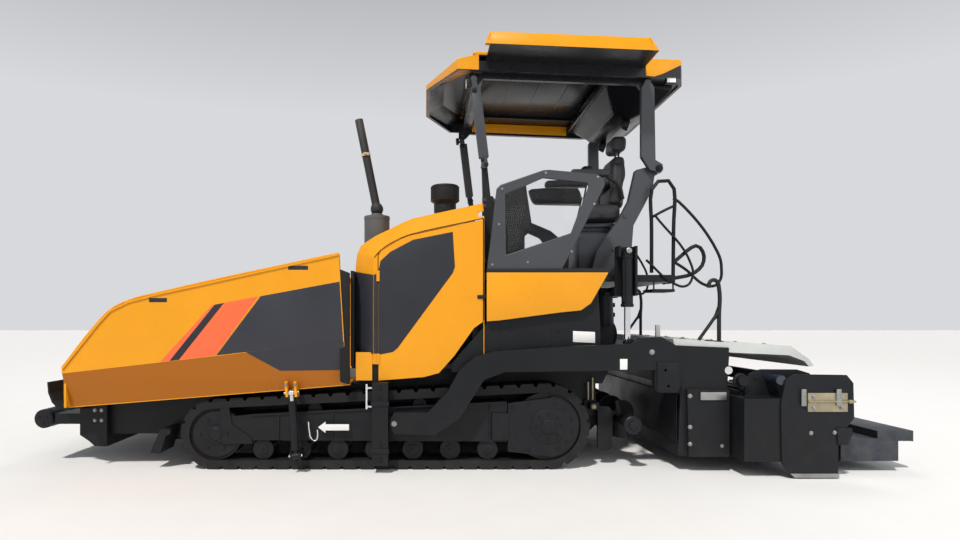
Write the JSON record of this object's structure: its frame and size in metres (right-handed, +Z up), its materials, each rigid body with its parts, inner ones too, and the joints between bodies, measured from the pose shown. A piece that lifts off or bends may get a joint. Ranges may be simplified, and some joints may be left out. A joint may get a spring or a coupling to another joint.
{
  "type": "tracked asphalt paver",
  "caption": "Tracked asphalt paver with folding hopper wings, folding canopy, augers, and a lifting screed with two sliding extensions.",
  "frame": {"origin": "centre of the machine's box on the ground plane", "axes": "+X to the rear (screed end), +Y to the machine's right side, +Z up"},
  "size_m": [7.567, 2.9, 3.6631],
  "materials": {
    "orange_paint": "gloss",
    "black_paint": "satin",
    "grey_paint": "satin",
    "light_paint": "satin",
    "worn_steel": "worn",
    "rubber": "matt",
    "black_plastic": "matt",
    "seat_vinyl": "satin"
  },
  "bodies": {
    "push_roller_left": {"push_roller_left": "worn_steel"},
    "hopper_wing_left": {"hopper_wing_left": "orange_paint"},
    "hopper_cylinder_left": {"hopper_cylinder_left": "black_paint"},
    "hopper_rod_left": {"hopper_rod_left": "worn_steel"},
    "engine_door_left": {"engine_door_left": "orange_paint"},
    "roof_wing_left": {"roof_wing_left": "orange_paint"},
    "auger_left": {"auger_left": "worn_steel"},
    "lift_cylinder_left": {"lift_cylinder_left": "black_paint"},
    "lift_rod_left": {"lift_rod_left": "worn_steel"},
    "extension_left": {"extension_left": "black_paint", "end_gate_left": "black_paint"},
    "push_roller_right": {"push_roller_right": "worn_steel"},
    "hopper_wing_right": {"hopper_wing_right": "orange_paint"},
    "hopper_cylinder_right": {"hopper_cylinder_right": "black_paint"},
    "hopper_rod_right": {"hopper_rod_right": "worn_steel"},
    "engine_door_right": {"engine_door_right": "orange_paint"},
    "roof_wing_right": {"roof_wing_right": "orange_paint"},
    "auger_right": {"auger_right": "worn_steel"},
    "lift_cylinder_right": {"lift_cylinder_right": "black_paint"},
    "lift_rod_right": {"lift_rod_right": "worn_steel"},
    "extension_right": {"extension_right": "black_paint", "end_gate_right": "black_paint"},
    "front_posts": {"front_post_left": "grey_paint", "front_post_right": "grey_paint"},
    "rear_posts": {"rear_post_left": "grey_paint", "rear_post_right": "grey_paint"},
    "canopy_roof": {"canopy_roof": "orange_paint"},
    "exhaust_pipe": {"exhaust_pipe": "worn_steel"},
    "screed": {"tow_arm_left": "black_paint", "tow_arm_right": "black_paint", "screed_body": "black_paint", "screed_cover": "light_paint"},
    "root": {"lift_bracket_left": "black_paint", "lift_bracket_right": "black_paint", "track_left": "rubber", "track_right": "rubber", "track_frame_left": "black_paint", "track_frame_right": "black_paint", "conveyor_deck": "black_paint", "chassis": "black_paint", "front_apron": "rubber", "front_beam": "black_paint", "hopper_rear_wall": "rubber", "hood_cover": "orange_paint", "engine_block": "black_paint", "exhaust_base": "black_paint", "air_precleaner": "black_paint", "bay_floor": "black_paint", "side_skirt_left": "black_paint", "side_skirt_right": "black_paint", "screen_frame_left": "grey_paint", "screen_frame_right": "grey_paint", "rear_leg_left": "grey_paint", "rear_leg_right": "grey_paint", "dash": "black_plastic", "seat_left": "seat_vinyl", "seat_right": "seat_vinyl", "deck": "black_paint", "tow_point_left": "black_paint", "tow_point_right": "black_paint"}
  },
  "joints": [
    {"name": "push_roller_left_spin", "type": "hinge", "parent": "root", "child": "push_roller_left", "pos_m": [-3.701, -0.465, 0.392], "axis": [0, 1, 0], "continuous": true},
    {"name": "auger_left_spin", "type": "hinge", "parent": "root", "child": "auger_left", "pos_m": [1.44, -0.6, 0.39], "axis": [0, 1, 0], "continuous": true},
    {"name": "hopper_wing_left_fold", "type": "hinge", "parent": "root", "child": "hopper_wing_left", "pos_m": [-2.127, -0.7, 0.63484], "axis": [-0.9968, 0, -0.0801], "range_deg": [0, 38]},
    {"name": "hopper_cylinder_left_swing", "type": "hinge", "parent": "root", "child": "hopper_cylinder_left", "pos_m": [-1.378, -1.271, 0.145], "axis": [-0.9968, 0, -0.0801], "range_deg": [0, 5.4]},
    {"name": "hopper_rod_left_slide", "type": "slide", "parent": "hopper_cylinder_left", "child": "hopper_rod_left", "axis": [-0.0799, 0.0669, 0.9945], "range_m": [0, 0.347]},
    {"name": "engine_door_left_swing", "type": "hinge", "parent": "root", "child": "engine_door_left", "pos_m": [-0.706, -1.1892, 1.4], "axis": [0, 0, -1], "range_deg": [0, 100]},
    {"name": "roof_wing_left_slide", "type": "slide", "parent": "canopy_roof", "child": "roof_wing_left", "axis": [0, 1, 0], "range_m": [0, 0.3]},
    {"name": "extension_left_slide", "type": "slide", "parent": "screed", "child": "extension_left", "axis": [0, -1, 0], "range_m": [0, 1]},
    {"name": "lift_cylinder_left_swing", "type": "hinge", "parent": "root", "child": "lift_cylinder_left", "pos_m": [1.43, -1.095, 1.865], "axis": [0, -1, 0], "range_deg": [-12.6, 0]},
    {"name": "lift_rod_left_slide", "type": "slide", "parent": "lift_cylinder_left", "child": "lift_rod_left", "axis": [0, 0, 1], "range_m": [0, 0.263]},
    {"name": "push_roller_right_spin", "type": "hinge", "parent": "root", "child": "push_roller_right", "pos_m": [-3.701, 0.465, 0.392], "axis": [0, 1, 0], "continuous": true},
    {"name": "auger_right_spin", "type": "hinge", "parent": "root", "child": "auger_right", "pos_m": [1.44, 0.6, 0.39], "axis": [0, 1, 0], "continuous": true},
    {"name": "hopper_wing_right_fold", "type": "hinge", "parent": "root", "child": "hopper_wing_right", "pos_m": [-2.127, 0.7, 0.63484], "axis": [0.9968, 0, 0.0801], "range_deg": [0, 38]},
    {"name": "hopper_cylinder_right_swing", "type": "hinge", "parent": "root", "child": "hopper_cylinder_right", "pos_m": [-1.378, 1.271, 0.145], "axis": [0.9968, 0, 0.0801], "range_deg": [0, 5.4]},
    {"name": "hopper_rod_right_slide", "type": "slide", "parent": "hopper_cylinder_right", "child": "hopper_rod_right", "axis": [-0.0799, -0.0669, 0.9945], "range_m": [0, 0.347]},
    {"name": "engine_door_right_swing", "type": "hinge", "parent": "root", "child": "engine_door_right", "pos_m": [-0.706, 1.1892, 1.4], "axis": [0, 0, 1], "range_deg": [0, 100]},
    {"name": "roof_wing_right_slide", "type": "slide", "parent": "canopy_roof", "child": "roof_wing_right", "axis": [0, -1, 0], "range_m": [0, 0.3]},
    {"name": "extension_right_slide", "type": "slide", "parent": "screed", "child": "extension_right", "axis": [0, 1, 0], "range_m": [0, 1]},
    {"name": "lift_cylinder_right_swing", "type": "hinge", "parent": "root", "child": "lift_cylinder_right", "pos_m": [1.43, 1.095, 1.865], "axis": [0, -1, 0], "range_deg": [-12.6, 0]},
    {"name": "lift_rod_right_slide", "type": "slide", "parent": "lift_cylinder_right", "child": "lift_rod_right", "axis": [0, 0, 1], "range_m": [0, 0.263]},
    {"name": "canopy_front_posts_fold", "type": "hinge", "parent": "root", "child": "front_posts", "pos_m": [0.226, 0, 2.65], "axis": [0, -1, 0], "range_deg": [0, 50]},
    {"name": "canopy_roof_level", "type": "hinge", "parent": "front_posts", "child": "canopy_roof", "pos_m": [0.128, 0, 3.41], "axis": [0, 1, 0], "range_deg": [0, 50.5]},
    {"name": "canopy_rear_posts_fold", "type": "hinge", "parent": "root", "child": "rear_posts", "pos_m": [1.766, 0, 2.615], "axis": [0, -1, 0], "range_deg": [0, 50.5]},
    {"name": "exhaust_pipe_fold", "type": "hinge", "parent": "root", "child": "exhaust_pipe", "pos_m": [-0.8, 0, 2.408], "axis": [0, -1, 0], "range_deg": [0, 60.5]},
    {"name": "screed_lift", "type": "hinge", "parent": "root", "child": "screed", "pos_m": [-0.578, 0, 0.422], "axis": [0, -1, 0], "range_deg": [0, 8]}
  ],
  "couplings": [
    {"joint": "hopper_cylinder_left_swing", "follows": "hopper_wing_left_fold", "ratio": 0.12974},
    {"joint": "hopper_rod_left_slide", "follows": "hopper_wing_left_fold", "m_per_rad": 0.51958},
    {"joint": "lift_cylinder_left_swing", "follows": "screed_lift", "ratio": -1.5073},
    {"joint": "lift_rod_left_slide", "follows": "screed_lift", "m_per_rad": 1.8724},
    {"joint": "hopper_cylinder_right_swing", "follows": "hopper_wing_right_fold", "ratio": 0.12974},
    {"joint": "hopper_rod_right_slide", "follows": "hopper_wing_right_fold", "m_per_rad": 0.51958},
    {"joint": "lift_cylinder_right_swing", "follows": "screed_lift", "ratio": -1.5073},
    {"joint": "lift_rod_right_slide", "follows": "screed_lift", "m_per_rad": 1.8724},
    {"joint": "canopy_roof_level", "follows": "canopy_front_posts_fold", "ratio": 1},
    {"joint": "canopy_rear_posts_fold", "follows": "canopy_front_posts_fold", "ratio": 1},
    {"joint": "exhaust_pipe_fold", "follows": "canopy_front_posts_fold", "ratio": 1.2}
  ]
}
